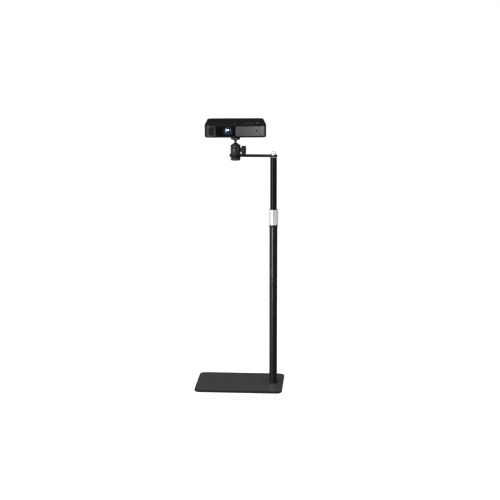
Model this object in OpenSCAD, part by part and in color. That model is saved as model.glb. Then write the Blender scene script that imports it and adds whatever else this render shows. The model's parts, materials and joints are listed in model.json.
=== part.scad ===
// Document camera on a floor stand: a heavy base plate, a two-stage pole with a twist lock,
// a swinging arm, a ball head and a wide flat camera head with a focus wheel and keys.
// Millimetres. Origin: centre of the base on the floor. +X towards the pole, -Y to the front.

/* [Base] */
// Width of the base plate
base_w = 327; // [250:1:420]
// Depth of the base plate
base_d = 236; // [180:1:320]
// Thickness of the base plate
base_t = 6; // [5:0.5:12]
// Corner radius of the base plate
base_r = 22; // [8:1:50]
// Thickness of the rubber mat under the plate
mat_t = 2; // [1:0.5:4]

/* [Pole] */
// Distance of the pole from the middle of the base
pole_x = 125.5; // [90:0.5:143]
// Outside diameter of the lower tube
lower_d = 30; // [26:1:40]
// Outside diameter of the upper tube
upper_d = 25; // [20:1:35]
// Height of the lower tube's top above the floor
lower_top = 612; // [500:1:650]
// Height of the upper tube's top above the floor
pole_top = 866.5; // [800:0.5:950]
// How far the upper tube reaches down from its top
upper_len = 539.5; // [500:0.5:560]

/* [Arm] */
// Distance from the pole to the ball head
arm_len = 139.5; // [120:0.5:180]
// Width of the flat arm
arm_w = 25; // [20:1:30]
// Thickness of the flat arm
arm_t = 8; // [4:0.5:10]

/* [Ball head] */
// Radius of the ball
ball_r = 15; // [14:0.5:15]
// Outside radius of the ball housing
housing_r = 18.5; // [18:0.5:20]
// Radius of the big clamp knob
clamp_r = 15.3; // [12:0.1:15.3]

/* [Head] */
// Width of the camera head
case_w = 225; // [220:1:240]
// Depth of the camera head
case_d = 180; // [176:1:190]
// Height of the camera head
case_h = 47.5; // [47:0.5:50]
// Plan corner radius of the camera head
case_r = 19; // [17:1:24]
// How far each side of the camera head leans in towards the back
case_lean = 7; // [0:0.5:9]
// Wall thickness of the camera head
wall = 3; // [2:0.5:3]
// Distance from the ball head's axis to the front face
case_front = 24; // [20:1:30]
// Nose-down tilt of the camera head at rest
tilt = 1.8; // [0:0.1:10]
// Turn of the camera head to the right at rest
yaw = 4.5; // [0:0.1:10]
// Lens centre, left of the middle
lens_x = -27; // [-30:0.5:-26]

/* [Hidden] */
$fn = 96;
fit = 0.08;
gap = 0.3;
plate_top = mat_t + base_t;
tube_foot = plate_top + 1;
arm_z = pole_top + 1;
pan_z = arm_z + arm_t;
ball_x = pole_x - arm_len;
ball_z = pan_z + 29;
stem_h = 36;
stem_top = stem_h - 1.6;
lens_z = 24;
lid_z = case_h - 3.4;
key_z = lid_z - 4.6;
board_z = 10;
board_t = 1.6;
wheel_x = lens_x + 25;
wheel_z = 37.5;
wheel_dir = atan((wheel_z - lens_z) / (wheel_x - lens_x));
face_z = case_h / 2 - 0.2;
clamp_z = ball_z - 12;
head_eye = 77.5;
keys = [[81, 40], [60, 40], [43, 40]];
socket_x = [72, 54, 34, 14];

// ---- placing -------------------------------------------------------------------------

module at_pole(z) translate([pole_x, 0, z]) children();

module at_ball_axis(z) translate([ball_x, 0, z]) children();

// Tilted frame with its origin at the ball's centre.
module in_stem() translate([ball_x, 0, ball_z]) rotate([tilt, 0, 0]) children();

// Camera head's frame: X across, Y from the front face back, Z up from the underside.
module in_case() in_stem() rotate([0, 0, yaw]) translate([0, -case_front, stem_h]) children();

// A thing modelled standing along Z, laid so that its Z points to the back.
module facing_back() rotate([-90, 0, 0]) children();

// ---- shapes --------------------------------------------------------------------------

function side(half, h, cb, ct) = concat(
    cb > 0 ? [[half - cb, 0], [half, cb]] : [[half, 0]],
    ct > 0 ? [[half, h - ct], [half - ct, h]] : [[half, h]]
);

// Half of a bevelled plate's section, from its middle out to r.
function rim(r, h, cb, ct) = concat([[0, 0]], side(r, h, cb, ct), [[0, h]]);

// Disc with bevelled edges, standing on z = 0.
module disc(r, h, cb = 0, ct = 0) {
    rotate_extrude() polygon(rim(r, h, cb, ct));
}

module ring(ro, ri, h) {
    difference() {
        cylinder(r = ro, h = h);
        translate([0, 0, -1]) cylinder(r = ri, h = h + 2);
    }
}

// Rounded plate with bevelled top and bottom edges, centred on X and Y. Its corners are discs
// and its sides straight runs 0.05 inside them; each side leans in by `lean` towards the back.
module slab(w, d, h, r, cb = 0, ct = 0, lean = 0) {
    x = w / 2 - r;
    y = d / 2 - r;
    corners = [[-x, -y], [lean - x, y], [x - lean, y], [x, -y]];
    if (cb + ct == 0) {
        a = atan(lean / (2 * y));
        n = (r - 0.05) * [cos(a), sin(a)];
        e = y + r - 0.05;
        linear_extrude(h) polygon([
            [-x - n[0], n[1] - y], [lean - x - n[0], y + n[1]], [lean - x, e], [x - lean, e],
            [x - lean + n[0], y + n[1]], [x + n[0], n[1] - y], [x, -e], [-x, -e]
        ]);
        for (c = corners) translate([c[0], c[1], 0]) cylinder(r = r, h = h);
    } else {
        linear_extrude(h) polygon(corners);
        for (i = [0 : 3]) {
            run = corners[(i + 1) % 4] - corners[i];
            section = concat([[-1, h], [-1, 0]], side(r - 0.05, h, cb, ct));
            translate([corners[i][0], corners[i][1], 0]) {
                disc(r, h, cb, ct);
                rotate([0, 0, atan2(run[1], run[0])]) rotate([90, 0, 90])
                    linear_extrude(norm(run)) polygon(section);
            }
        }
    }
}

// Upright rounded rectangle: w wide, h high, centred on X and Z, t deep from y = 0.
module upright(w, h, t, r) {
    translate([-w / 2 + r, 0, -h / 2]) cube([w - 2 * r, t, h]);
    translate([-w / 2, 0, -h / 2 + r]) cube([w, t, h - 2 * r]);
    for (x = [-1, 1], z = [-1, 1]) {
        translate([x * (w / 2 - r), 0, z * (h / 2 - r)]) facing_back() cylinder(r = r, h = t);
    }
}

// Grip with flutes cut along its rim.
module fluted(r, h, flutes, flute_r, bevel) {
    difference() {
        disc(r, h, bevel, bevel);
        for (i = [0 : flutes - 1]) {
            rotate([0, 0, (i + 0.5) * 360 / flutes]) translate([r + flute_r * 0.45, 0, -1])
                cylinder(r = flute_r, h = h + 2, $fn = 32);
        }
    }
}

// ---- stand ---------------------------------------------------------------------------

module base_plate() color("#3f4042") {
    difference() {
        translate([0, 0, mat_t]) slab(base_w, base_d, base_t, base_r, 0.8, 1);
        at_pole(-1) cylinder(r = 5.3, h = plate_top + 2);
        at_pole(-1) cylinder(r = 12, h = mat_t + 4);
    }
}

module base_mat() color("#1b1b1c") {
    difference() {
        slab(base_w - 4, base_d - 4, mat_t, base_r - 2, 0, 0);
        at_pole(-1) cylinder(r = 12.5, h = mat_t + 2);
    }
}

module foot_bolt() color("#8a8c8f") {
    difference() {
        at_pole(mat_t + 0.2) disc(10, 2.8, 0.5, 0);
        at_pole(mat_t) cylinder(r = 3.5, h = 1.8, $fn = 6);
    }
    at_pole(mat_t + 2.9) disc(5, 29, 0, 0.8);
}

module foot_plug() color("#a9abad") at_pole(tube_foot) {
    difference() {
        disc(lower_d / 2 - 1.6, 31, 0, 0.8);
        translate([0, 0, -1]) cylinder(r = 5.05, h = 26);
    }
}

module foot_ring() color("#1b1b1c") at_pole(plate_top) ring(lower_d / 2, 5.3, 1);

module lower_tube() color("#161617") at_pole(tube_foot) {
    ring(lower_d / 2, lower_d / 2 - 1.5, lower_top - tube_foot);
}

module lock_seat() color("#1c1c1e") at_pole(lower_top) {
    rotate_extrude() polygon([
        [lower_d / 2 + 0.1, -6], [lower_d / 2 + 1.2, -6], [lower_d / 2 + 1.2, 3.6],
        [lower_d / 2 + 0.6, 4.2], [lower_d / 2 + 0.6, 32], [lower_d / 2 - 0.4, 32],
        [upper_d / 2 + gap, 24], [upper_d / 2 + gap, 0], [lower_d / 2 + 0.1, 0]
    ]);
}

module lock_collet() color("#dcdcd6") at_pole(lower_top) {
    difference() {
        rotate_extrude() polygon([
            [upper_d / 2 + 0.05, 26], [upper_d / 2 + 0.5, 26], [lower_d / 2 - 0.7, 32],
            [lower_d / 2 + 0.3, 32.6], [lower_d / 2 + 0.3, 37], [upper_d / 2 + 0.5, 41],
            [upper_d / 2 + 0.05, 41]
        ]);
        translate([0, -0.8, 20]) cube([lower_d, 1.6, 30]);
    }
}

module lock_sleeve() color("#d5d7da") at_pole(lower_top + 4.3) {
    rotate_extrude() polygon([
        [17.2, 0], [18, 0.8], [18, 3], [17.3, 3.7], [17.3, 5.2], [18, 5.9], [18, 46.4],
        [17.2, 47.2], [17.2, 49.6], [18, 50.4], [18, 54.9], [16.8, 56.4],
        [upper_d / 2 + gap, 56.4], [upper_d / 2 + gap, 38], [lower_d / 2 + 0.9, 34],
        [lower_d / 2 + 0.9, 0]
    ]);
}

module upper_tube() color("#161617") at_pole(pole_top - upper_len) {
    ring(upper_d / 2, upper_d / 2 - 1.2, upper_len);
}

module glide_bush() color("#dcdcd6") at_pole(pole_top - upper_len) {
    ring(lower_d / 2 - 1.55, upper_d / 2 + 0.05, 32);
}

module top_plug() color("#161617") at_pole(pole_top) {
    difference() {
        translate([0, 0, -30]) disc(upper_d / 2 - 1.3, 30, 1, 0);
        translate([0, 0, -31]) cylinder(r = 4.05, h = 32);
    }
}

module pivot_washer() color("#dcdcd6") at_pole(pole_top) ring(upper_d / 2, 4.3, 1);

module pivot_cap_washer() color("#c9cbce") at_pole(pan_z) ring(9, 4.3, 1.5);

module pivot_bolt() color("#d5d7da") at_pole(pan_z) {
    translate([0, 0, -28]) disc(4, 30, 0.6, 0);
    intersection() {
        translate([0, 0, 1.5]) cylinder(r = 8.2, h = 11.7);
        translate([0, 0, 2]) sphere(r = 11.2);
    }
}

// ---- arm and ball head ---------------------------------------------------------------

module arm() color("#151516") {
    difference() {
        union() {
            translate([ball_x, -arm_w / 2, arm_z]) cube([arm_len, arm_w, arm_t]);
            at_pole(arm_z) disc(14, arm_t, 0.6, 0.6);
            at_ball_axis(arm_z) disc(22.5, arm_t, 0.6, 0.6);
        }
        at_pole(arm_z - 1) cylinder(r = 4 + fit, h = arm_t + 2);
        at_ball_axis(arm_z - 1) cylinder(r = 5.3, h = arm_t + 2);
    }
}

module pan_base() color("#1a1a1b") at_ball_axis(pan_z) {
    difference() {
        union() {
            disc(20, 3, 0, 0.6);
            disc(9, 9.7, 0, 0.5);
        }
        translate([0, 0, -1]) cylinder(r = 4.85, h = 8.5);
    }
}

module fixing_knob() color("#151516") at_ball_axis(arm_z) {
    difference() {
        union() {
            translate([0, 0, -13.5]) fluted(18, 11.5, 14, 2.4, 1.2);
            translate([0, 0, -3]) cylinder(r = 11, h = 3);
        }
        translate([0, 0, -10]) cylinder(r = 4.8, h = 11);
    }
}

module fixing_stud() color("#8a8c8f") at_ball_axis(arm_z - 9.9) disc(4.75, 22.5, 0, 0.8);

module ball_housing() color("#1a1a1b") {
    difference() {
        union() {
            at_ball_axis(pan_z + 3.3) rotate_extrude() polygon([
                [0, 0], [housing_r - 0.7, 0], [housing_r, 0.7], [housing_r, 28.7],
                [housing_r - 1.8, 32.7], [0, 32.7]
            ]);
            translate([ball_x, 0, clamp_z]) rotate([0, 90, 0]) disc(7.5, 19.6, 0, 0.6);
            translate([ball_x, 0, ball_z - 20.5]) rotate([90, 0, 0]) disc(4.5, 20.5, 0, 0.5);
        }
        at_ball_axis(pan_z + 3) cylinder(r = 9 + gap, h = 7);
        at_ball_axis(pan_z + 3.3) rotate_extrude() polygon([
            [0, 8.7], [15.6, 8.7], [15.6, 27.9], [13.6, 32.7], [13.6, 40], [0, 40]
        ]);
        translate([ball_x - 7, -30, ball_z]) cube([14, 20, 20]);
        translate([ball_x, -10, ball_z]) rotate([90, 0, 0]) cylinder(r = 7, h = 20);
        translate([ball_x, 0, clamp_z]) rotate([0, 90, 0]) cylinder(r = 4.3, h = 30);
        translate([ball_x, 0, ball_z - 20.5]) rotate([90, 0, 0]) cylinder(r = 2.3, h = 30);
    }
}

module ball_cup() color("#dcdcd6") {
    difference() {
        at_ball_axis(pan_z + 12) cylinder(r = 8.5, h = 4.5);
        at_ball_axis(pan_z + 11) cylinder(r = 3, h = 6);
        at_ball_axis(ball_z) sphere(r = ball_r + 0.15);
    }
}

module brake_shoe() color("#dcdcd6") {
    difference() {
        translate([ball_x + 8.9, 0, clamp_z]) rotate([0, 90, 0]) cylinder(r = 4, h = 6.2);
        at_ball_axis(ball_z) sphere(r = ball_r + 0.15);
    }
}

module clamp_knob() color("#151516") translate([ball_x + 19.9, 0, clamp_z]) rotate([0, 90, 0]) {
    difference() {
        union() {
            cylinder(r = 8, h = 3);
            translate([0, 0, 1.6]) fluted(clamp_r, 17, 10, 3.2, 1.4);
        }
        translate([0, 0, -1]) cylinder(r = 4.05, h = 11);
        translate([0, 0, 17.6]) cylinder(r = 9.5, h = 2);
    }
}

module clamp_spindle() color("#8a8c8f") {
    translate([ball_x + 15.2, 0, clamp_z]) rotate([0, 90, 0]) disc(4, 14.5, 0.4, 0);
}

module pan_lock_knob() color("#151516") translate([ball_x, -21.3, ball_z - 20.5]) rotate([90, 0, 0]) {
    difference() {
        fluted(5.75, 6.4, 10, 1.1, 0.6);
        translate([0, 0, -1]) cylinder(r = 2.05, h = 5);
        translate([0, 0, 5.8]) cylinder(r = 3.4, h = 2);
    }
}

module pan_lock_screw() color("#8a8c8f") {
    translate([ball_x, -9.1, ball_z - 20.5]) rotate([90, 0, 0]) disc(2, 16, 0.3, 0);
}

module ball() color("#2a2a2c") at_ball_axis(ball_z) sphere(r = ball_r);

module stem() color("#1a1a1b") in_stem() {
    difference() {
        rotate_extrude() polygon([
            [0, 12], [4.8, 12], [4.8, stem_top - 12.6], [7.4, stem_top - 10.6],
            [15.8, stem_top - 8], [17, stem_top - 6.6], [17, stem_top - 0.7],
            [16.4, stem_top], [0, stem_top]
        ]);
        sphere(r = ball_r + 0.2);
        translate([0, 0, stem_top - 8.9]) cylinder(r = 3.2, h = 10);
    }
}

module platform_pad() color("#232325") in_stem() translate([0, 0, stem_top]) ring(16.4, 4, 1.6);

module camera_screw() color("#8a8c8f") in_stem() translate([0, 0, stem_top - 8.9]) disc(3.12, 17.5, 0, 0.6);

// ---- camera head ---------------------------------------------------------------------

module tripod_bush() color("#b08d4c") in_case() translate([0, case_front, 0.2]) ring(6.4, 3.3, 8.6);

module case_outline(inset, z0, z1, bevel_low, bevel_top) {
    translate([0, case_d / 2, z0])
        slab(case_w - 2 * inset, case_d - 2 * inset, z1 - z0, case_r - inset, bevel_low, bevel_top,
             case_lean);
}

module side_vents() {
    for (i = [0 : 13]) {
        translate([-case_w / 2 - 5, 42 + i * 7, 11]) cube([case_w + 10, 2.6, 23]);
    }
}

module case_frame() color("#26272a") in_case() {
    difference() {
        case_outline(0, 0, lid_z, 0, 0);
        case_outline(wall - 0.05, -1, lid_z + 1, 0, 0);
        translate([-73.5, -1, face_z - 17.8]) cube([179.8, 11.5, 35.6]);
        translate([30, case_d - wall - 1, 21]) upright(106.6, 24.6, wall + 2, 2);
        side_vents();
    }
}

module bottom_cover() color("#202124") in_case() {
    difference() {
        union() {
            case_outline(wall + 0.25, 0, 2.4, 0, 0);
            translate([0, case_front, 1]) cylinder(r = 9, h = 8);
            for (x = [1, 86], y = [59, 158]) {
                translate([x, y, 2]) cylinder(r = 3.2, h = board_z - 2);
            }
        }
        translate([0, case_front, -1]) cylinder(r = 6.45, h = 12);
        for (x = [-1, 1], y = [15, case_d - 34]) {
            translate([x * (case_w / 2 - 15), y, -1]) cylinder(r = 1.8, h = 5);
            translate([x * (case_w / 2 - 15), y, -1]) cylinder(r = 3.3, h = 2);
        }
    }
}

module top_cover() color("#242528") in_case() {
    difference() {
        union() {
            case_outline(1, lid_z, lid_z + 0.8, 0, 0);
            case_outline(0, lid_z + 0.7, case_h, 0.5, 2);
        }
        translate([wheel_x - 12, 30.5, lid_z - 1]) cube([24, 7, 6]);
        for (k = [0 : 2]) {
            translate([keys[k][0], keys[k][1], lid_z - 1]) {
                cylinder(r = k == 0 ? 6.3 : 5.3, h = 6);
                cylinder(r = k == 0 ? 7.6 : 6.6, h = 2);
            }
        }
    }
    for (x = [-1, 1], y = [15, case_d - 34]) {
        difference() {
            translate([x * (case_w / 2 - 15), y, 2.4]) cylinder(r = 3.5, h = lid_z - 1.2);
            translate([x * (case_w / 2 - 15), y, 2]) cylinder(r = 1.55, h = 13);
        }
    }
    for (x = [34, 94], y = [31, 49]) {
        translate([x, y, key_z + 1.6]) cylinder(r = 2.2, h = 4.2);
    }
}

module front_fascia() color("#0b0b0d") in_case() {
    difference() {
        union() {
            translate([-36.3, 0.35, face_z]) upright(73.8, 35, 3, 1.8);
            translate([-78, 3, 3]) cube([78.6, 1.4, case_h - 7]);
        }
        translate([-22.8, -1, face_z]) upright(41, 32.6, 3.2, 2);
        translate([lens_x, -1, lens_z]) facing_back() cylinder(r = 15.2, h = 8);
    }
}

module front_panel() color("#6c6e70") in_case() {
    difference() {
        union() {
            intersection() {
                difference() {
                    case_outline(0.35, 2, case_h - 2, 0, 0);
                    case_outline(wall + 0.2, 1, case_h - 1, 0, 0);
                }
                translate([1, -1, face_z - 17.5]) cube([105, 11, 35]);
            }
            translate([1, 3, 3]) cube([90, 1.4, case_h - 7]);
        }
        translate([43, -0.5, face_z]) upright(78, 29, 1.5, 1.2);
        translate([head_eye, -1, face_z + 1.7]) upright(4.7, 8.2, 8, 2.3);
    }
}

module ir_window() color("#08080a") in_case() {
    translate([head_eye, 0.8, face_z + 1.7]) upright(4.2, 7.7, 3.8, 2);
    translate([head_eye - 4, 4.4, face_z - 3.3]) cube([8, 1.2, 10]);
}

module lens_mount() color("#2b2c2f") in_case() {
    difference() {
        union() {
            translate([lens_x - 20, 22, 2.4]) cube([38, 8, 38]);
            translate([lens_x + 17, 22, 29]) cube([14, 8, 11.4]);
        }
        translate([lens_x, 20, lens_z]) facing_back() cylinder(r = 14.6 + fit, h = 12);
        translate([wheel_x, 20, wheel_z]) facing_back() cylinder(r = 2 + fit, h = 12);
    }
}

module lens_tube() color("#141416") in_case() {
    difference() {
        union() {
            translate([lens_x, 2.6, lens_z]) facing_back() cylinder(r = 14.6, h = 57.4);
            translate([wheel_x, 46, wheel_z]) facing_back() cylinder(r = 5, h = 6);
            translate([lens_x, 46, lens_z]) rotate([0, -wheel_dir, 0]) translate([13, 0, -3])
                cube([11, 6, 6]);
        }
        translate([lens_x, 2.6, lens_z]) facing_back() rotate_extrude() polygon([
            [0, -1], [14.4, -1], [13.9, 0.8], [13.9, 6], [11, 6], [11, 53.4], [9, 53.4],
            [9, 60], [0, 60]
        ]);
        translate([wheel_x, 44, wheel_z]) facing_back() cylinder(r = 2 + fit, h = 10);
    }
}

module front_lens() color("#1d3a63") in_case() translate([lens_x, 3.1, lens_z]) facing_back() {
    intersection() {
        cylinder(r = 13.6, h = 5.5);
        translate([0, 0, 26]) sphere(r = 26);
    }
}

module rear_lens() color("#8fa7b5") in_case() translate([lens_x, 51.5, lens_z]) facing_back() {
    intersection() {
        cylinder(r = 10.7, h = 4.5);
        translate([0, 0, 30]) sphere(r = 30);
    }
}

module focus_wheel() color("#2f3033") in_case() translate([wheel_x, 31.5, wheel_z]) facing_back() {
    difference() {
        fluted(10.8, 5, 36, 0.6, 0.5);
        translate([0, 0, -1]) cylinder(r = 2.05, h = 7);
    }
}

module focus_spindle() color("#9a9c9f") in_case() translate([wheel_x, 22.5, wheel_z]) facing_back() {
    disc(2, 36, 0.3, 0.3);
}

module image_sensor() color("#2b3640") in_case() translate([lens_x - 7, 66.5, lens_z - 5.5]) {
    difference() {
        cube([14, 2.4, 11]);
        translate([2, -1, 1.5]) cube([10, 1.6, 8]);
    }
}

module sensor_board() color("#1f5a38") in_case() {
    translate([lens_x - 22, 68.9, 2.4]) cube([44, 1.6, 38]);
    translate([lens_x - 17, 70.5, 6]) cube([8, 1.4, 8]);
    translate([lens_x + 6, 70.5, 27]) cube([12, 3, 5]);
}

module main_board() color("#1f5a38") in_case() {
    translate([-4, 54, board_z]) cube([95.5, 116, board_t]);
    translate([46, 90, board_z + board_t]) cube([32, 32, 1.4]);
    translate([14, 80, board_z + board_t]) cube([14, 12, 1.4]);
    translate([14, 104, board_z + board_t]) cube([14, 12, 1.4]);
    translate([6, 138, board_z + board_t]) cube([10, 10, 4]);
}

module heat_sink() color("#a9abad") in_case() translate([34, 78, board_z + board_t + 1.4]) {
    cube([56, 56, 3]);
    for (i = [0 : 9]) {
        translate([i * 6, 0, 2.9]) cube([2, 56, 18]);
    }
}

module speaker() color("#1a1a1b") in_case() translate([40, 4.4, face_z]) facing_back() {
    disc(16, 3, 0, 0.5);
    translate([0, 0, 2.5]) cylinder(r1 = 14, r2 = 10, h = 6);
    translate([0, 0, 8]) cylinder(r = 10, h = 6);
}

module battery_pack() color("#33518a") in_case() translate([-77, 82, 2.4]) {
    slab(50, 114, 19, 4, 0.8, 0.8);
}

module rear_panel() color("#1b1c1e") in_case() {
    difference() {
        union() {
            translate([30, case_d - wall - 0.5, 21]) upright(106, 24, wall + 0.1, 1.8);
            translate([-26, case_d - wall - 1.4, 6.5]) cube([111, 1.4, 29]);
        }
        translate([socket_x[0] - 4.7, case_d - 6, board_z + board_t - 0.2]) cube([9.4, 8, 11.4]);
        translate([socket_x[1] - 7.7, case_d - 6, board_z + board_t - 0.2]) cube([15.4, 8, 6.4]);
        for (x = [socket_x[2], socket_x[3]]) {
            translate([x - 6.9, case_d - 6, board_z + board_t - 0.2]) cube([13.8, 8, 6.6]);
        }
    }
}

module power_jack() color("#101011") in_case() translate([socket_x[0], case_d - 14.6, board_z + board_t]) {
    difference() {
        translate([-4.5, 0, 0]) cube([9, 14, 11]);
        translate([0, 3, 5.8]) facing_back() cylinder(r = 2.9, h = 12);
    }
    translate([0, 2, 5.8]) facing_back() disc(1, 11, 0, 0.3);
}

module video_socket() color("#b9bbbe") in_case() translate([socket_x[1], case_d - 12.6, board_z + board_t]) {
    difference() {
        translate([-7.5, 0, 0]) cube([15, 12, 6]);
        translate([-7, 2, 0.5]) cube([14, 12, 5]);
    }
    translate([-6, 1, 2.5]) cube([12, 9, 1]);
}

module usb_sockets() color("#b9bbbe") {
    for (x = [socket_x[2], socket_x[3]]) {
        in_case() translate([x, case_d - 14.6, board_z + board_t]) {
            difference() {
                translate([-6.7, 0, 0]) cube([13.4, 14, 6.2]);
                translate([-6.2, 2, 0.5]) cube([12.4, 14, 5.2]);
            }
            translate([-5.6, 1, 3.2]) cube([11.2, 11, 1.8]);
        }
    }
}

module key_board() color("#1f5a38") in_case() {
    translate([30, 28, key_z]) cube([68, 24, 1.6]);
    for (p = keys) {
        translate([p[0] - 3, p[1] - 3, key_z + 1.6]) cube([6, 6, 1.6]);
    }
}

module key_cap(p, r) {
    in_case() translate([p[0], p[1], key_z + 4.2]) {
        disc(r + 1.2, 1, 0, 0);
        disc(r, case_h - key_z - 3.7, 0, 0.5);
    }
}

module power_button() color("#3a3b3f") key_cap(keys[0], 6);

module zoom_in_button() color("#3a3b3f") key_cap(keys[1], 5);

module zoom_out_button() color("#3a3b3f") key_cap(keys[2], 5);

module case_screws() color("#8a8c8f") {
    for (x = [-1, 1], y = [15, case_d - 34]) {
        in_case() translate([x * (case_w / 2 - 15), y, 0.2]) {
            difference() {
                disc(3, 0.8, 0.2, 0);
                translate([0, 0, -1]) cylinder(r = 1.3, h = 1.5, $fn = 6);
            }
            translate([0, 0, 0.7]) disc(1.5, 12, 0, 0.3);
        }
    }
}

module case_feet() color("#1b1b1c") {
    for (x = [-1, 1], y = [32, case_d - 52]) {
        in_case() translate([x * (case_w / 2 - 18), y, -1.5]) disc(6, 1.5, 0.4, 0);
    }
}

// ---- what is drawn -------------------------------------------------------------------

base_plate();
base_mat();
foot_bolt();
foot_plug();
foot_ring();
lower_tube();
lock_seat();
lock_collet();
lock_sleeve();
upper_tube();
glide_bush();
top_plug();
pivot_washer();
pivot_cap_washer();
pivot_bolt();
arm();
pan_base();
fixing_knob();
fixing_stud();
ball_housing();
ball_cup();
brake_shoe();
clamp_knob();
clamp_spindle();
pan_lock_knob();
pan_lock_screw();
ball();
stem();
platform_pad();
camera_screw();
tripod_bush();
case_frame();
bottom_cover();
top_cover();
front_fascia();
front_panel();
ir_window();
lens_mount();
lens_tube();
front_lens();
rear_lens();
focus_wheel();
focus_spindle();
image_sensor();
sensor_board();
main_board();
heat_sink();
speaker();
battery_pack();
rear_panel();
power_jack();
video_socket();
usb_sockets();
key_board();
power_button();
zoom_in_button();
zoom_out_button();
case_screws();
case_feet();
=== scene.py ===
"""Looks of the document camera on its floor stand. Metres, in the CAD frame."""
import json
import math

import bmesh
import bpy
from mathutils import Matrix, Vector


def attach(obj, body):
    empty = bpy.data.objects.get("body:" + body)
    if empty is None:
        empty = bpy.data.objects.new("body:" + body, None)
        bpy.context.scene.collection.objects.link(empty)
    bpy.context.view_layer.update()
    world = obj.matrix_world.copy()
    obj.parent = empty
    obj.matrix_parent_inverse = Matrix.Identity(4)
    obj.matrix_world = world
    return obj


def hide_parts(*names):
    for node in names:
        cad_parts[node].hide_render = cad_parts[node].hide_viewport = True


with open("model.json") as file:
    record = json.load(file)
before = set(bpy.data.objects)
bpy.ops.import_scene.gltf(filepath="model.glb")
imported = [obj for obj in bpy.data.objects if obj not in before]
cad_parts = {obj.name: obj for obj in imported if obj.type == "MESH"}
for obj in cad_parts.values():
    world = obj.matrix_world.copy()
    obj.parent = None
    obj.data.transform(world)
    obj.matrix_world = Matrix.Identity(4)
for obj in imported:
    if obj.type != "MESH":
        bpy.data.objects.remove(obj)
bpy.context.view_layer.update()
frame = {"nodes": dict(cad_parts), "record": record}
NODES = frame["nodes"]


# ---- materials ---------------------------------------------------------------------------------

class Graph:
    """Short forms for building one material's nodes."""

    def __init__(self, name):
        self.mat = bpy.data.materials.new(name)
        self.mat.use_nodes = True
        self.tree = self.mat.node_tree
        self.shader = self.tree.nodes["Principled BSDF"]
        self.coord = self.tree.nodes.new("ShaderNodeTexCoord").outputs["Object"]

    def node(self, kind, links=None, **values):
        n = self.tree.nodes.new(kind)
        for key, value in values.items():
            if key in n.inputs:
                n.inputs[key].default_value = value
            else:
                setattr(n, key, value)
        for key, source in (links or {}).items():
            self.tree.links.new(source, n.inputs[key])
        return n

    def set(self, **values):
        for key, value in values.items():
            self.shader.inputs[key.replace("_", " ")].default_value = value

    def link(self, source, socket):
        self.tree.links.new(source, self.shader.inputs[socket])

    def stretched(self, scale):
        n = self.node("ShaderNodeMapping", {"Vector": self.coord})
        n.inputs["Scale"].default_value = scale
        return n.outputs["Vector"]

    def noise(self, scale, detail=3.0, rough=0.55, coord=None):
        n = self.node("ShaderNodeTexNoise", {"Vector": coord or self.coord})
        n.inputs["Scale"].default_value = scale
        n.inputs["Detail"].default_value = detail
        n.inputs["Roughness"].default_value = rough
        return n.outputs["Fac"]

    def spread(self, fac, low, high, start=0.3, end=0.7):
        n = self.node("ShaderNodeMapRange", {"Value": fac})
        for key, value in (("From Min", start), ("From Max", end), ("To Min", low), ("To Max", high)):
            n.inputs[key].default_value = value
        return n.outputs["Result"]

    def mix(self, fac, a, b):
        n = self.node("ShaderNodeMix", data_type="RGBA")
        for value, socket in ((fac, n.inputs[0]), (a, n.inputs[6]), (b, n.inputs[7])):
            if isinstance(value, (int, float)):
                socket.default_value = value
            elif isinstance(value, tuple):
                socket.default_value = (*value, 1.0)
            else:
                self.tree.links.new(value, socket)
        return n.outputs[2]

    def product(self, a, b):
        n = self.node("ShaderNodeMath", operation="MULTIPLY")
        self.tree.links.new(a, n.inputs[0])
        self.tree.links.new(b, n.inputs[1])
        return n.outputs[0]

    def bump(self, height, distance, strength=1.0, under=None):
        n = self.node("ShaderNodeBump", {"Height": height})
        n.inputs["Distance"].default_value = distance
        n.inputs["Strength"].default_value = strength
        if under is not None:
            self.tree.links.new(under, n.inputs["Normal"])
        return n.outputs["Normal"]

    def scuffs(self, amount):
        """Sparse fine rubbed marks, lighter than the surface."""
        streak = self.noise(1.0, 2.0, coord=self.stretched((420.0, 60.0, 380.0)))
        patch = self.noise(11.0, 2.0)
        return self.product(self.spread(streak, 0.0, amount, 0.66, 0.78),
                            self.spread(patch, 0.0, 1.0, 0.52, 0.7))


def shade(colour, k, lift=0.0):
    return tuple(min(1.0, c * k + lift) for c in colour)


def surface(name, colour, rough, grain, depth, drift=0.1, scuff=0.0, metallic=0.0, coat=0.0,
            spec=0.5, rough_drift=0.05):
    """Painted, moulded or rubber surface: grain, slow tone drift, uneven gloss and a few scuffs."""
    g = Graph(name)
    cloud = g.spread(g.noise(16.0, 3.0), 0.0, 1.0)
    tone = g.mix(cloud, shade(colour, 1.0 - drift), shade(colour, 1.0 + drift))
    pores = g.spread(g.noise(grain, 2.0), 0.0, 0.5, 0.45, 0.7)
    tone = g.mix(pores, tone, shade(colour, 0.8))
    if scuff:
        tone = g.mix(g.scuffs(scuff), tone, shade(colour, 1.8, 0.02))
    g.link(tone, "Base Color")
    g.link(g.spread(g.noise(55.0, 4.0), max(0.02, rough - rough_drift), rough + rough_drift), "Roughness")
    g.link(g.bump(g.noise(grain, 3.0), depth), "Normal")
    g.set(Metallic=metallic, Coat_Weight=coat, Coat_Roughness=0.05, Specular_IOR_Level=spec)
    return g.mat


def plated(name, tint, rough, along=(60.0, 60.0, 2600.0), lines=0.000004, metallic=1.0):
    """Polished or turned metal with fine lines across its axis and faint smudges."""
    g = Graph(name)
    smudge = g.noise(38.0, 3.0)
    g.link(g.mix(g.spread(smudge, 0.0, 1.0), shade(tint, 0.94), tint), "Base Color")
    g.link(g.spread(smudge, rough, rough + 0.06), "Roughness")
    g.link(g.bump(g.noise(1.0, 3.0, coord=g.stretched(along)), lines, 0.6), "Normal")
    g.set(Metallic=metallic)
    return g.mat


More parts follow.
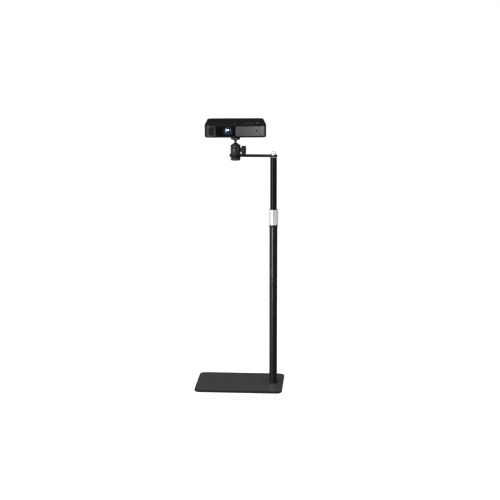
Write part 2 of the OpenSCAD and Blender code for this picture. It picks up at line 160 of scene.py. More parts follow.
def glass(name, tint, clear, rough=0.02):
    """Optical glass with a faint haze in its coating."""
    g = Graph(name)
    haze = g.spread(g.noise(260.0, 2.0), 0.0, 1.0)
    g.link(g.mix(haze, tint, shade(tint, 0.85)), "Base Color")
    g.link(g.spread(haze, rough, rough + 0.03, 0.0, 1.0), "Roughness")
    g.set(Transmission_Weight=clear, IOR=1.6, Coat_Weight=1.0, Coat_Roughness=0.02)
    g.shader.inputs["Coat Tint"].default_value = (0.75, 0.86, 1.0, 1.0)
    return g.mat


def board(name):
    """Circuit board: solder mask over tracks."""
    g = Graph(name)
    tracks = g.node("ShaderNodeTexBrick", {"Vector": g.stretched((220.0, 220.0, 220.0))})
    for key, value in (("Color1", (0.02, 0.12, 0.06, 1)), ("Color2", (0.03, 0.16, 0.08, 1)),
                       ("Mortar", (0.05, 0.24, 0.12, 1)), ("Mortar Size", 0.06)):
        tracks.inputs[key].default_value = value
    g.link(tracks.outputs["Color"], "Base Color")
    g.link(g.bump(tracks.outputs["Fac"], 0.00003), "Normal")
    g.link(g.spread(g.noise(120.0), 0.3, 0.42), "Roughness")
    g.set(Coat_Weight=0.3, Coat_Roughness=0.1)
    return g.mat


BLACK = (0.0035, 0.0035, 0.0037)
MATS = {
    "base_paint": surface("base_paint", (0.052, 0.052, 0.053), 0.36, 2600.0, 0.000025, 0.05, 0.2,
                          spec=0.25),
    "pole_paint": surface("pole_paint", BLACK, 0.27, 2600.0, 0.000008, 0.08, 0.12, spec=0.3),
    "black_metal": surface("black_metal", (0.010, 0.010, 0.0105), 0.36, 3200.0, 0.000010, 0.1, 0.2, 0.1),
    "chrome": plated("chrome", (0.93, 0.935, 0.94), 0.12, metallic=0.68),
    "steel": plated("steel", (0.50, 0.50, 0.52), 0.28),
    "alloy": plated("alloy", (0.62, 0.63, 0.64), 0.34),
    "rubber": surface("rubber", (0.008, 0.008, 0.008), 0.8, 1100.0, 0.00005, 0.12, spec=0.2),
    "nylon_black": surface("nylon_black", (0.009, 0.009, 0.0095), 0.45, 2200.0, 0.00002, 0.1, 0.15,
                           spec=0.4),
    "nylon_white": surface("nylon_white", (0.62, 0.61, 0.56), 0.45, 900.0, 0.00002),
    "case_plastic": surface("case_plastic", (0.0042, 0.0042, 0.0045), 0.44, 2400.0, 0.00002, 0.08, 0.1,
                            spec=0.2),
    "gloss_black": surface("gloss_black", (0.002, 0.002, 0.0025), 0.12, 300.0, 0.000002, coat=0.3,
                           spec=0.2, rough_drift=0.03),
    "panel_grey": surface("panel_grey", (0.040, 0.041, 0.040), 0.4, 2600.0, 0.000015, 0.05, 0.15,
                          metallic=0.3),
    "lens_coated": glass("lens_coated", (0.0042, 0.0120, 0.0290), 0.15),
    "lens_clear": glass("lens_clear", (0.75, 0.85, 0.9), 0.9),
    "board_green": board("board_green"),
    "sensor_dark": surface("sensor_dark", (0.02, 0.03, 0.04), 0.2, 600.0, 0.000005, coat=0.6),
    "brass": plated("brass", (0.72, 0.52, 0.22), 0.25),
    "battery_wrap": surface("battery_wrap", (0.04, 0.10, 0.30), 0.35, 700.0, 0.00001, coat=0.2),
    "key_plastic": surface("key_plastic", (0.03, 0.03, 0.032), 0.42, 2400.0, 0.00002, 0.1, 0.2),
}
# Lighter copy of the case plastic for the case's front-left: painted brightness standing in for the front
# face catching more light than the top.
CASE_FRONT_PAINTED_LIT = surface("case_plastic_painted_front_light", (0.085, 0.085, 0.086), 0.42, 2600.0, 0.000015, 0.06, 0.2,
                      metallic=0.2)
BAR_PAINT = surface("bar_paint", BLACK, 0.42, 2600.0, 0.000008, 0.08, 0.12, spec=0.12)
UPPER_PAINT = surface("upper_paint", BLACK, 0.3, 2600.0, 0.000008, 0.08, 0.12, spec=0.14)
ICON = surface("icon_white", (0.55, 0.56, 0.56), 0.5, 2000.0, 0.000005)

for part in frame["record"]["subparts"]:
    obj = NODES[part["node"]]
    obj.data.materials.clear()
    obj.data.materials.append(MATS[part["material_slot"]])


# ---- places, in millimetres --------------------------------------------------------------------

def move(x, y, z):
    return Matrix.Translation((x, y, z))


def turn(axis, degrees):
    return Matrix.Rotation(math.radians(degrees), 4, axis)


BASE_W, BASE_D, BASE_R = 327.0, 236.0, 22.0
POLE_X, BALL_X, BALL_Z, ARM_Z, PAN_Z = 125.5, -14.0, 904.5, 867.5, 875.5
LOWER_TOP, POLE_TOP = 612.0, 866.5
BALL_R, STEM_TOP = 15.0, 34.4
HEAD_PITCH, HEAD_YAW, CASE_FRONT, CASE_FOOT = 1.8, 4.5, 24.0, 36.0
CASE_W, CASE_D, CASE_H, CASE_R, LEAN, LID_Z = 225.0, 180.0, 47.5, 19.0, 7.0, 44.1
FACE_Z, PLATE_DEPTH = 23.55, 0.35
LENS_X, LENS_Z, WHEEL_X, WHEEL_Z, WHEEL_Y = -27.0, 24.0, -2.0, 37.5, 34.0
EYE_X, KEY_Y = 77.5, 40.0
BACK_X, BACK_Z = 30.0, 21.0
VENT_START, VENT_PITCH, VENTS = 43.3, 7.0, 14
POLE = move(POLE_X, 0, 0)
BALL_AXIS = move(BALL_X, 0, 0)
STEM = move(BALL_X, 0, BALL_Z) @ turn("X", HEAD_PITCH)
CASE = STEM @ turn("Z", HEAD_YAW) @ move(0, -CASE_FRONT, CASE_FOOT)
TO_FRONT = turn("X", 90)
TO_BACK = turn("X", -90)
SHARP = math.radians(32)


# ---- mesh builders -----------------------------------------------------------------------------

def soften(points, radius, steps=4, closed=True, turned=False):
    """Polygon with each corner turned into an arc, and a point beside it to keep flats flat."""
    out, n = [], len(points)
    for i, corner in enumerate(points):
        p = Vector(corner)
        if (not closed and i in (0, n - 1)) or (turned and p.x == 0):
            out.append(tuple(p))
            continue
        a, b = Vector(points[i - 1]) - p, Vector(points[(i + 1) % n]) - p
        la, lb = a.length, b.length
        a, b = a / la, b / lb
        angle = a.angle(b)
        reach = min(radius / math.tan(angle / 2), 0.42 * la, 0.42 * lb)
        if reach < 0.02 or angle > math.radians(172):
            out.append(tuple(p))
            continue
        guard = min(0.25, 0.06 * min(la, lb))
        start, end = p + a * reach, p + b * reach
        out.append(tuple(start + a * guard))
        for k in range(steps + 1):
            t = k / steps
            out.append(tuple(start * (1 - t) ** 2 + p * 2 * t * (1 - t) + end * t ** 2))
        out.append(tuple(end + b * guard))
    return out


def skin(bm, loops, closed, caps=True):
    """Faces between loops of vertices; a loop of one vertex is a pole."""
    pairs = list(zip(loops, loops[1:])) + ([(loops[-1], loops[0])] if closed else [])
    for low, high in pairs:
        n = max(len(low), len(high))
        for i in range(n if n > 1 else 0):
            j = (i + 1) % n
            if len(low) == 1:
                bm.faces.new((low[0], high[j], high[i]))
            elif len(high) == 1:
                bm.faces.new((low[i], low[j], high[0]))
            else:
                bm.faces.new((low[i], low[j], high[j], high[i]))
    if caps and not closed:
        for loop in (loops[0], loops[-1]):
            if len(loop) > 2:
                bm.faces.new(loop)


def lathe(profile, soft=0.4, flutes=0, depth=0.0, fluted_from=0.0, segments=96, power=2.0):
    """Turned piece about Z from (radius, height) points; flutes are scooped from its rim."""
    bm = bmesh.new()
    loops = []
    for r, z in soften(profile, soft, turned=True):
        if r < 1e-6:
            loops.append([bm.verts.new((0, 0, z))])
            continue
        ring = []
        for i in range(segments):
            a = 2 * math.pi * i / segments
            bite = 0.0
            if flutes and r > fluted_from:
                bite = depth * (0.5 + 0.5 * math.cos(flutes * a)) ** power
                bite *= min(1.0, (r - fluted_from) / max(depth, 1e-3))
            ring.append(bm.verts.new(((r - bite) * math.cos(a), (r - bite) * math.sin(a), z)))
        loops.append(ring)
    skin(bm, loops, True)
    return bm


def rounded_loop(bm, w, d, r, inset, z, corner=8, lean=0.0):
    loop = []
    k = max(r - inset, 0.05)
    for sx, sy, start in ((1, -1, -90), (1, 1, 0), (-1, 1, 90), (-1, -1, 180)):
        cx, cy = sx * (w / 2 - inset - k - (lean if sy > 0 else 0.0)), sy * (d / 2 - inset - k)
        for i in range(corner + 1):
            a = math.radians(start + 90 * i / corner)
            loop.append(bm.verts.new((cx + k * math.cos(a), cy + k * math.sin(a), z)))
    return loop


def stack(w, d, r, profile, soft=0.5, closed=False, corner=8, lean=0.0):
    """Rounded rectangle whose edge follows (inset, height) points; closed makes a frame.
    The sides lean in towards +Y."""
    bm = bmesh.new()
    points = soften(profile, soft, closed=closed)
    skin(bm, [rounded_loop(bm, w, d, r, inset, z, corner, lean) for inset, z in points], closed)
    return bm


def placed(bm, matrix):
    bmesh.ops.transform(bm, matrix=matrix, verts=bm.verts)
    return bm


def joined(*parts):
    """Several bmeshes as one."""
    out = bmesh.new()
    for bm in parts:
        mesh = bpy.data.meshes.new("part")
        bm.to_mesh(mesh)
        bm.free()
        out.from_mesh(mesh)
        bpy.data.meshes.remove(mesh)
    return out


def temporary(bm):
    bmesh.ops.recalc_face_normals(bm, faces=bm.faces)
    mesh = bpy.data.meshes.new("temporary")
    bm.to_mesh(mesh)
    bm.free()
    obj = bpy.data.objects.new("temporary", mesh)
    bpy.context.scene.collection.objects.link(obj)
    return obj


def carve(bm, cutter):
    """bm less cutter, both closed."""
    body, tool = temporary(bm), temporary(cutter)
    cut = body.modifiers.new("cut", "BOOLEAN")
    cut.operation, cut.solver, cut.object = "DIFFERENCE", "EXACT", tool
    cut.use_hole_tolerant = True
    graph = bpy.context.evaluated_depsgraph_get()
    mesh = bpy.data.meshes.new_from_object(body.evaluated_get(graph))
    out = bmesh.new()
    out.from_mesh(mesh)
    bmesh.ops.remove_doubles(out, verts=out.verts, dist=0.0005)
    for old in (body, tool):
        old_mesh = old.data
        bpy.data.objects.remove(old)
        bpy.data.meshes.remove(old_mesh)
    bpy.data.meshes.remove(mesh)
    return out


def piece(name, bm, body, slot, place=Matrix(), nodes=(), material=None):
    """A finished object: mesh in millimetres at its place, riding on its body."""
    bmesh.ops.recalc_face_normals(bm, faces=bm.faces)
    for face in bm.faces:
        face.smooth = True
    for edge in bm.edges:
        edge.smooth = not (len(edge.link_faces) == 2 and edge.calc_face_angle(0.0) > SHARP)
    mesh = bpy.data.meshes.new(name)
    bm.to_mesh(mesh)
    bm.free()
    mesh.transform(Matrix.Scale(0.001, 4) @ place)
    made = bpy.data.objects.new(name, mesh)
    bpy.context.scene.collection.objects.link(made)
    mesh.materials.append(material or MATS[slot])
    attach(made, body)
    if nodes:
        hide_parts(*nodes)
    return made


def block(x0, x1, y0, y1, z0, z1):
    """A cutter or a small raised mark."""
    bm = bmesh.new()
    bmesh.ops.create_cube(bm, size=1.0)
    size = Matrix.Diagonal((x1 - x0, y1 - y0, z1 - z0, 1))
    return placed(bm, move((x0 + x1) / 2, (y0 + y1) / 2, (z0 + z1) / 2) @ size)


def rod(r, z0, z1, segments=48):
    return lathe([(0, z0), (r, z0), (r, z1), (0, z1)], 0.0, segments=segments)


# ---- stand -------------------------------------------------------------------------------------

piece("base_top", stack(BASE_W, BASE_D, BASE_R, [(1.0, 2.2), (1.0, 7.7), (3.4, 7.7)], 0.3, corner=16),
      "stand", "base_paint", nodes=("base_plate",))
edging = stack(BASE_W, BASE_D, BASE_R, [(0, 2.0), (0, 8.0), (3.2, 8.0), (3.2, 7.4), (1.6, 7.4), (1.6, 2.0)],
               0.7, closed=True, corner=16)
piece("base_edging", edging, "stand", "rubber")
tread = stack(BASE_W - 4, BASE_D - 4, BASE_R - 2,
              [(0, 2.0), (0, 0.0), (5, 0.0), (6, 0.6), (9, 0.6), (10, 0.0), (14, 0.0)], 0.3, corner=16)
piece("base_tread", tread, "stand", "rubber", nodes=("base_mat",))

piece("lower_pole", lathe([(13.5, 9), (15, 9), (15, LOWER_TOP), (13.5, LOWER_TOP)], 0.4), "stand",
      "pole_paint", POLE, ("lower_tube",))
piece("foot_collar", lathe([(12.5, 8), (15, 8), (15, 9), (12.5, 9)], 0.3), "stand", "rubber", POLE,
      ("foot_ring",))
piece("upper_pole", lathe([(11.3, 327), (12.5, 327), (12.5, POLE_TOP), (11.3, POLE_TOP)], 0.4), "mast",
      "pole_paint", POLE, ("upper_tube",), material=UPPER_PAINT)
seat = lathe([(15.1, -6), (16.2, -6), (16.2, -3.4), (15.8, -3), (15.8, -2.2), (16.2, -1.8), (16.2, 3.6),
              (15.6, 4.2), (15.6, 32), (14.6, 32), (12.8, 24), (12.8, 0), (15.1, 0)], 0.25)
piece("sleeve_seat", seat, "stand", "nylon_black", POLE @ move(0, 0, LOWER_TOP), ("lock_seat",))
sleeve = lathe([(17.2, 0), (18, 0.8), (18, 3), (17.3, 3.7), (17.3, 5.2), (18, 5.9), (18, 46.4), (17.2, 47.2),
                (17.2, 49.6), (18, 50.4), (18, 54.9), (16.8, 56.4), (12.8, 56.4), (12.8, 38), (15.9, 34),
                (15.9, 0)], 0.5)
piece("twist_sleeve", sleeve, "lock_sleeve", "chrome", POLE @ move(0, 0, LOWER_TOP + 4.3), ("lock_sleeve",))

dome = [(11.2 * math.sin(a), 2 + 11.2 * math.cos(a)) for a in map(math.radians, (47, 36, 25, 14, 6))]
cap = lathe([(0, -28), (4, -28), (4, 1.5), (8.2, 1.5), (8.2, 5.0), (7.7, 5.5), (7.7, 6.4), (8.2, 6.9)]
            + dome + [(0, 13.2)], 0.3)
piece("pivot_cap", cap, "mast", "chrome", POLE @ move(0, 0, PAN_Z), ("pivot_bolt",))
piece("pivot_disc", lathe([(4.3, 0), (9, 0), (9, 1.5), (4.3, 1.5)], 0.4), "mast", "chrome",
      POLE @ move(0, 0, PAN_Z), ("pivot_cap_washer",))


def arm_loop(bm, inset, z):
    """Outline of the arm: two parallel sides between a small arc at the pole and a large one."""
    loop, half = [], 12.5 - inset
    for cx, r, start, end in ((POLE_X, 14.0 - inset, -1, 1), (BALL_X, 22.5 - inset, 1, -1)):
        reach = math.asin(half / r)
        a0, a1 = (-math.pi + reach, math.pi - reach) if cx == POLE_X else (reach, 2 * math.pi - reach)
        for i in range(33):
            a = a0 + (a1 - a0) * i / 32
            loop.append(bm.verts.new((cx + r * math.cos(a), r * math.sin(a), z)))
    return loop


arm = bmesh.new()
arm_edge = soften([(2.4, 0.3), (1.2, 0.0), (0, 0.0), (0, 8.0), (1.2, 8.0), (2.4, 7.7)], 1.1, closed=False)
skin(arm, [arm_loop(arm, inset, z) for inset, z in arm_edge], False)
holes = joined(placed(rod(4.08, -2, 10), POLE), placed(rod(5.3, -2, 10), BALL_AXIS))
piece("swing_bar", carve(arm, holes), "swing_arm", "pole_paint", move(0, 0, ARM_Z), ("arm",),
      material=BAR_PAINT)


# ---- ball head ---------------------------------------------------------------------------------

AT_PAN = BALL_AXIS @ move(0, 0, PAN_Z)
pan_disc = lathe([(4.85, 0), (20, 0), (20, 2.2), (19.2, 3), (9, 3), (9, 9.2), (8.5, 9.7), (0, 9.7),
                  (0, 8.5), (4.85, 8.5)], 0.3, 72, 0.35, 19.0, 288)
piece("pan_disc", pan_disc, "swing_arm", "black_metal", AT_PAN, ("pan_base",))
grip = lathe([(0, -13.5), (12, -13.5), (13, -12.9), (16.6, -13.5), (18, -12.2), (18, -3.3), (16.8, -2),
              (11, -2), (11, 0), (4.8, 0), (4.8, -10), (0, -10)], 0.9, 14, 1.5, 13.5, 168)
piece("fixing_grip", grip, "fixing_knob", "nylon_black", BALL_AXIS @ move(0, 0, ARM_Z), ("fixing_knob",))

shell = lathe([(9.3, 3.3), (17.8, 3.3), (18.5, 4.0), (18.5, 6.4), (18.0, 6.9), (18.0, 7.7), (18.5, 8.2),
               (18.5, 32.0), (16.7, 36.0), (13.6, 36.0), (15.6, 31.2), (15.6, 12.0), (9.3, 10.0)], 0.7)
AT_CLAMP = move(19.6, 0, 17.0) @ turn("Y", 90)
AT_PIN = move(0, 0, 8.5) @ TO_FRONT
shell = carve(shell, block(-7, 7, -30, -10, 29, 50))
shell = carve(shell, placed(rod(7, 10, 30), move(0, 0, 29) @ TO_FRONT))
shell = carve(shell, placed(rod(4.3, -12, 10), AT_CLAMP))
shell = carve(shell, placed(rod(2.3, 5, 30), AT_PIN))
bosses = joined(placed(lathe([(4.3, -4), (7.5, -4), (7.5, -0.6), (6.9, 0), (4.3, 0)], 0.3), AT_CLAMP),
                placed(lathe([(2.3, 14), (4.5, 14), (4.5, 20), (4.0, 20.5), (2.3, 20.5)], 0.3), AT_PIN))
piece("ball_body", joined(shell, bosses), "ball_housing", "black_metal", AT_PAN, ("ball_housing",))

grip = lathe([(4.05, 0), (8, 0), (8, 1.6), (13.6, 1.6), (15.3, 3.2), (15.3, 17.0), (13.8, 18.6), (9.8, 18.6),
              (9.5, 17.8), (0, 17.6), (0, 10), (4.05, 10)], 0.9, 10, 2.0, 10.5, 160)
piece("clamp_grip", grip, "clamp_knob", "nylon_black",
      BALL_AXIS @ move(19.9, 0, BALL_Z - 12) @ turn("Y", 90), ("clamp_knob",))
grip = lathe([(2.05, 0), (5.2, 0), (5.75, 0.6), (5.75, 5.8), (5.2, 6.4), (3.5, 6.4), (3.3, 5.9), (0, 5.8),
              (0, 4), (2.05, 4)], 0.3, 10, 0.7, 4.2, 120)
piece("pan_grip", grip, "pan_lock_knob", "nylon_black",
      BALL_AXIS @ move(0, -21.3, BALL_Z - 20.5) @ TO_FRONT, ("pan_lock_knob",))
meridian = [(BALL_R * math.sin(a), -BALL_R * math.cos(a)) for a in map(math.radians, range(5, 180, 5))]
piece("ball_sphere", lathe([(0, -BALL_R)] + meridian + [(0, BALL_R)], 0.0), "ball", "black_metal",
      BALL_AXIS @ move(0, 0, BALL_Z), ("ball",))
platform = lathe([(0, 14.2), (4.8, 14.2), (4.8, STEM_TOP - 12.6), (7.4, STEM_TOP - 10.6),
                  (15.8, STEM_TOP - 8), (17, STEM_TOP - 6.8), (17, STEM_TOP - 0.6), (16.4, STEM_TOP),
                  (0, STEM_TOP)], 0.4, 60, 0.35, 16.5, 240)
piece("platform", platform, "camera_head", "black_metal", STEM, ("stem",))
pad = lathe([(4, 0), (16.4, 0), (16.4, 1.6), (15.5, 1.6), (15.2, 1.2), (14, 1.2), (13.7, 1.6), (12, 1.6),
             (11.7, 1.2), (10.5, 1.2), (10.2, 1.6), (4, 1.6)], 0.15)
piece("platform_rubber", pad, "camera_head", "rubber", STEM @ move(0, 0, STEM_TOP), ("platform_pad",))


# ---- camera head: shell ------------------------------------------------------------------------

MIDDLE = CASE @ move(0, CASE_D / 2, 0)
side = stack(CASE_W, CASE_D, CASE_R, [(0, LID_Z), (0.0, 2.0), (1.8, 0), (3.1, 0), (3.1, LID_Z)], 0.9,
             True, 20, LEAN)
cuts = [block(-73.5, 106.3, -CASE_D / 2 - 1, -CASE_D / 2 + 10.5, FACE_Z - 17.8, FACE_Z + 17.8)]
cuts += [placed(stack(106.6, 24.6, 2, [(0, -8), (0, 8)], 0.0), move(BACK_X, CASE_D / 2, BACK_Z) @ TO_BACK)]
for i in range(VENTS):
    y = VENT_START + i * VENT_PITCH - CASE_D / 2
    for s in (-1, 1):
        slot_cut = stack(2.6, 23, 1.2, [(0, -5), (0, 5)], 0.0, corner=5)
        cuts.append(placed(slot_cut, move(s * CASE_W / 2, y, 22.5) @ turn("Z", 90) @ TO_FRONT))
piece("case_side", carve(side, joined(*cuts)), "camera_head", "case_plastic", MIDDLE, ("case_frame",))

lid_edge = [(3.4, LID_Z), (1.0, LID_Z), (1.0, LID_Z + 0.7), (0.3, LID_Z + 0.7), (0.0, LID_Z + 1.2),
            (0.5, CASE_H - 0.8), (2.6, CASE_H), (4.4, CASE_H)]
lid = stack(CASE_W, CASE_D, CASE_R, lid_edge, 0.5, corner=20, lean=LEAN)
KEYS = (("power_button", 81, 6.0), ("zoom_in_button", 60, 5.0), ("zoom_out_button", 43, 5.0))
lid_cuts = [placed(stack(24, 7, 1.5, [(0, -6), (0, 6)], 0.0, corner=5),
                   move(WHEEL_X, WHEEL_Y - CASE_D / 2, 46))]
lid_cuts += [placed(rod(r + 0.3, -6, 6, 64), move(x, KEY_Y - CASE_D / 2, 46)) for _, x, r in KEYS]
piece("case_lid", carve(lid, joined(*lid_cuts)), "camera_head", "case_plastic", MIDDLE, ("top_cover",))
piece("lid_line", stack(95, 21, 10.5, [(0, 0), (0, 0.22), (0.7, 0.22), (0.7, 0)], 0.08, True, 16),
      "camera_head", "panel_grey", MIDDLE @ move(62, KEY_Y - CASE_D / 2, CASE_H - 0.02))


# ---- camera head: front ------------------------------------------------------------------------

SURROUND_X, BAY_X = -36.3, 13.5


def face_place(x, z, depth=PLATE_DEPTH):
    """Frame on the front face: X across, Y up, Z out of the face, at a depth behind it."""
    return CASE @ move(x, depth, z) @ TO_FRONT


surround = stack(73.8, 35, 1.8, [(0, -3), (0, 0), (1.5, 0)], 0.5)
bay = placed(stack(41, 32.6, 2, [(0, -10), (0, 10)], 0.0), move(BAY_X, 0, 0))
surround = carve(surround, bay)
bay_floor = placed(stack(41.4, 33, 2, [(0, -3.0), (0, -1.9), (0.6, -1.9)], 0.2), move(BAY_X, 0, 0))
bay_floor = carve(bay_floor, placed(rod(15.2, -10, 10, 96), move(LENS_X - SURROUND_X, LENS_Z - FACE_Z, 0)))
piece("window_surround", joined(surround, bay_floor), "camera_head", "gloss_black",
      face_place(SURROUND_X, FACE_Z), ("front_fascia",))
bay_rim = stack(41, 32.6, 2, [(0, -1.8), (0, 0.3), (0.7, 0.3), (0.9, -1.8)], 0.2, True)
piece("bay_rim", placed(bay_rim, move(BAY_X, 0, 0)), "camera_head", "gloss_black",
      face_place(SURROUND_X, FACE_Z))

LENS = face_place(LENS_X, LENS_Z, 3.1)
crown = [(r, math.sqrt(26 ** 2 - r * r) - 26) for r in (2, 4, 6, 8, 10, 12, 12.8)]
piece("objective", lathe([(0, 0)] + crown + [(13.6, -4.0), (13.6, -5.5), (0, -5.5)], 0.15),
      "lens_carriage", "lens_coated", LENS, ("front_lens",))
piece("lens_ring", lathe([(12.9, -2.4), (13.8, -2.4), (14.3, 0.2), (14.3, 0.8), (13.9, 0.8), (13.6, 0.3),
                          (13.2, -0.9), (12.9, -1.6)], 0.15), "lens_carriage", "black_metal", LENS)
piece("lens_trim", lathe([(15.2, -2.0), (16.4, -2.0), (16.4, -1.1), (15.9, -0.7), (15.2, -1.0)], 0.2),
      "camera_head", "gloss_black", face_place(LENS_X, LENS_Z))


def wrapped(bm, start, r):
    """Bends a flat front panel round the case's corner: X past start follows the arc."""
    cuts = 14
    for i in range(cuts + 1):
        x = start + i * 1.3
        geom = list(bm.verts) + list(bm.edges) + list(bm.faces)
        bmesh.ops.bisect_plane(bm, geom=geom, plane_co=(x, 0, 0), plane_no=(1, 0, 0))
    for v in bm.verts:
        if v.co.x > start:
            a = (v.co.x - start) / r
            out = r + v.co.z
            v.co.x = start + out * math.sin(a)
            v.co.z = out * math.cos(a) - r
    return bm


def on_panel(w, h, r, profile, x, soft=0.4, closed=False):
    """Rounded plate on the right panel, its middle at x from the panel's left end."""
    return placed(stack(w, h, r, profile, soft, closed), move(x, 0, 0))


PANEL_LEFT, PANEL_LONG = 1.0, 106.1
FLAT = CASE_W / 2 - CASE_R - PANEL_LEFT
panel = on_panel(PANEL_LONG, 35, 1.6, [(0, -2.8), (0, 0), (2.4, 0), (3.2, -0.6), (5, -0.6)], PANEL_LONG / 2,
                 0.35)
panel = carve(panel, placed(on_panel(4.7, 8.2, 2.3, [(0, -8), (0, 8)], EYE_X - PANEL_LEFT, 0.0),
                            move(0, 1.7, 0)))
piece("right_panel", wrapped(panel, FLAT, CASE_R - PLATE_DEPTH), "camera_head", "panel_grey",
      face_place(PANEL_LEFT, FACE_Z), ("front_panel",))
eye = on_panel(4.4, 7.9, 2.1, [(0, -3), (0, -0.5), (0.5, -0.1), (1.0, 0.0)], EYE_X - PANEL_LEFT, 0.3)
piece("remote_window", eye, "camera_head", "gloss_black",
      face_place(PANEL_LEFT, FACE_Z) @ move(0, 1.7, 0), ("ir_window",))
# Thin sheet over the case's front-left and round its left corner, in the lighter copy of the case plastic:
# painted brightness for the front catching more light than the top.
zone = stack(30, 35, 1.6, [(0, -2.0), (0, 0), (1.2, 0), (1.6, -0.25), (2.6, -0.25)], 0.3)
zone = placed(zone, move(15, 0, 0))
piece("left_zone", placed(wrapped(zone, 19.5, CASE_R + 0.05), Matrix.Diagonal((-1, 1, 1, 1))), "camera_head",
      "case_plastic", face_place(-74.0, FACE_Z, -0.05), material=CASE_FRONT_PAINTED_LIT)


# ---- camera head: keys, wheel, back and underside ----------------------------------------------

dial = lathe([(2.05, 0), (10.1, 0), (10.8, 0.7), (10.8, 4.3), (10.1, 5), (2.05, 5)], 0.3, 36, 0.5, 9.8, 288)
piece("focus_dial", dial, "focus_wheel", "key_plastic",
      CASE @ move(WHEEL_X, WHEEL_Y - 2.5, WHEEL_Z) @ TO_BACK, ("focus_wheel",))


def key(name, x, r):
    """A domed key with its raised mark: a power sign, a plus or a minus."""
    top = CASE_H + 0.5 - (LID_Z - 0.4)
    cap = lathe([(0, 0), (r + 1.2, 0), (r + 1.2, 1), (r, 1), (r, top), (r - 1.2, top), (r - 2.2, top - 0.35),
                 (0, top - 0.45)], 0.35, segments=64)
    place = CASE @ move(x, KEY_Y, LID_Z - 0.4)
    piece(name.replace("_button", "_cap"), cap, name, "key_plastic", place, (name,))
    low, high = top - 0.5, top - 0.12
    if name == "power_button":
        marks = [lathe([(2.0, low), (2.6, low), (2.6, high), (2.0, high)], 0.05, segments=48),
                 block(-0.3, 0.3, 1.2, 3.2, low, high + 0.05)]
    else:
        marks = [block(-1.9, 1.9, -0.3, 0.3, low, high)]
        if name == "zoom_in_button":
            marks.append(block(-0.3, 0.3, -1.9, 1.9, low, high))
    piece(name.replace("_button", "_mark"), joined(*marks), name, "nylon_white", place, material=ICON)


for name, x, r in KEYS:
    key(name, x, r)

# Each opening of the back panel: place across, width, height, place up.
SOCKETS = ((72, 9.4, 11.4, 17.1), (54, 15.4, 6.4, 14.6), (34, 13.8, 6.6, 14.7), (14, 13.8, 6.6, 14.7))
back = stack(106, 24, 1.8, [(0, -2.6), (0, 0), (1.5, 0), (1.9, -0.3), (3, -0.3)], 0.3)
holes = [placed(stack(w, h, 0.6, [(0, -8), (0, 8)], 0.0, corner=3), move(BACK_X - x, z - BACK_Z, 0))
         for x, w, h, z in SOCKETS]
piece("socket_panel", carve(back, joined(*holes)), "camera_head", "case_plastic",
      CASE @ move(BACK_X, CASE_D - 0.4, BACK_Z) @ turn("Z", 180) @ TO_FRONT, ("rear_panel",))

foot_profile = [(0, 0), (6, 0), (6, -1.1), (5.6, -1.5), (3.6, -1.5), (3.2, -1.2), (0, -1.2)]
feet = [placed(lathe(foot_profile, 0.25, segments=48), move(s * (CASE_W / 2 - 18), y, 0))
        for s in (-1, 1) for y in (32, CASE_D - 52)]
piece("soft_feet", joined(*feet), "camera_head", "rubber", CASE, ("case_feet",))


# ---- floor, lights and camera ------------------------------------------------------------------

def plane(name, half):
    mesh = bpy.data.meshes.new(name)
    corners = [(-half, -half, 0), (half, -half, 0), (half, half, 0), (-half, half, 0)]
    mesh.from_pydata(corners, [], [(0, 1, 2, 3)])
    obj = bpy.data.objects.new(name, mesh)
    bpy.context.scene.collection.objects.link(obj)
    return obj


floor = plane("floor", 60.0)
g = Graph("floor_white")
g.link(g.mix(g.spread(g.noise(2.0, 2.0), 0.0, 1.0), (0.90, 0.90, 0.90), (0.92, 0.92, 0.92)), "Base Color")
g.set(Roughness=0.95, Specular_IOR_Level=0.0, Emission_Strength=0.45)
g.shader.inputs["Emission Color"].default_value = (1.0, 1.0, 1.0, 1.0)
floor.data.materials.append(g.mat)
floor.visible_glossy = False

world = bpy.data.worlds.new("studio")
bpy.context.scene.world = world
world.use_nodes = True
wt = world.node_tree
back_light = wt.nodes["Background"]


def wnode(kind, *links, **values):
    n = wt.nodes.new(kind)
    for key, value in values.items():
        setattr(n, key, value)
    for i, source in enumerate(links):
        if isinstance(source, (int, float)):
            n.inputs[i].default_value = source
        elif source is not None:
            wt.links.new(source, n.inputs[i])
    return n


def wmath(op, a, b=0.0):
    return wnode("ShaderNodeMath", a, b, operation=op).outputs[0]


def wrange(value, a, b, low, high):
    return wnode("ShaderNodeMapRange", value, a, b, low, high, interpolation_type="SMOOTHSTEP").outputs[0]


# Glossy rays see a studio that is bright on the left, dim on the right, dark at the back and
# darker low down; all other rays see plain white.
path = wt.nodes.new("ShaderNodeLightPath")
way = wnode("ShaderNodeSeparateXYZ", wt.nodes.new("ShaderNodeTexCoord").outputs["Generated"])
DX, DY, DZ = way.outputs
left = wrange(DX, -0.42, -0.16, 1.0, 0.0)
right = wrange(DX, 0.0, 0.9, 0.16, 0.34)
behind = wrange(DY, 0.55, 0.9, 0.0, 1.0)
low_down = wrange(DZ, -0.10, -0.02, 1.0, 0.0)
studio = wmath("ADD", wmath("MULTIPLY", left, 0.9), right)
studio = wmath("MULTIPLY", studio, wrange(behind, 0.0, 1.0, 1.0, 0.04))
studio = wmath("MULTIPLY", studio, wrange(low_down, 0.0, 1.0, 1.0, 0.45))
glossy = path.outputs["Is Glossy Ray"]
plain = wmath("ADD", wmath("MULTIPLY", path.outputs["Is Camera Ray"], 0.25), 0.75)
strength = wmath("ADD", wmath("MULTIPLY", glossy, studio),
                 wmath("MULTIPLY", wmath("SUBTRACT", 1.0, glossy), plain))
wt.links.new(strength, back_light.inputs["Strength"])
back_light.inputs["Color"].default_value = (1.0, 1.0, 1.0, 1.0)


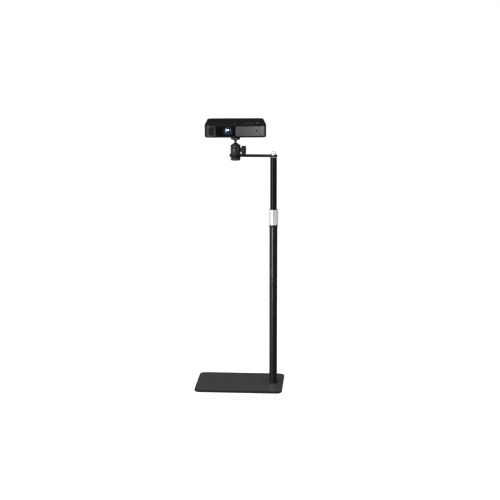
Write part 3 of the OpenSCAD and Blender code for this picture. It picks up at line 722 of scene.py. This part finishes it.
def area_light(name, place, aim, size, power):
    """A soft rectangular light, in metres and watts, turned towards aim."""
    light = bpy.data.lights.new(name, "AREA")
    light.shape = "RECTANGLE"
    light.size, light.size_y = size
    light.energy = power
    obj = bpy.data.objects.new(name, light)
    obj.location = place
    obj.rotation_euler = (Vector(aim) - Vector(place)).to_track_quat("-Z", "Y").to_euler()
    bpy.context.scene.collection.objects.link(obj)
    return obj


def lit_only(light, *names):
    """The light falls on these pieces alone and is never seen itself."""
    light.visible_camera = False
    receivers = bpy.data.collections.new(light.name + "_receivers")
    for name in names:
        receivers.objects.link(bpy.data.objects[name])
    light.light_linking.receiver_collection = receivers


area_light("strip", (-1.4, -2.6, 1.0), (0.1, 0.0, 0.6), (0.5, 2.4), 70.0)
area_light("fill", (2.6, -2.4, 1.4), (0.1, 0.0, 0.6), (1.0, 1.8), 16.0)
area_light("top", (0.0, 0.4, 3.4), (0.0, 0.0, 0.0), (2.4, 2.4), 20.0)
lit_only(area_light("lens_patch", (0.32, -2.4, 1.22), (-0.04, -0.03, 0.96), (0.75, 0.75), 90.0), "objective")
lit_only(area_light("pole_strip", (-1.25, -2.6, 0.7), (0.1, 0.0, 0.4), (0.5, 2.0), 120.0), "lower_pole")
lit_only(area_light("panel_end", (0.14, -0.11, 1.03), (0.08, 0.0, 0.97), (0.05, 0.05), 0.5), "right_panel")

CAMERA_AT = Vector((0.3808, -4.8127, 1.5127))
YAW, PITCH, ROLL = 0.071, -0.2032, -0.0015
ahead = Vector((-math.sin(YAW) * math.cos(PITCH), math.cos(YAW) * math.cos(PITCH), math.sin(PITCH)))
camera = bpy.data.objects.new("camera", bpy.data.cameras.new("camera"))
camera.location = CAMERA_AT
camera.rotation_euler = (ahead.to_track_quat("-Z", "Y").to_matrix().to_4x4()
                         @ Matrix.Rotation(ROLL, 4, "Z")).to_euler()
camera.data.sensor_width = 36.0
camera.data.lens = 95.45
bpy.context.scene.collection.objects.link(camera)
bpy.context.scene.camera = camera
bpy.context.scene.view_settings.view_transform = "Standard"
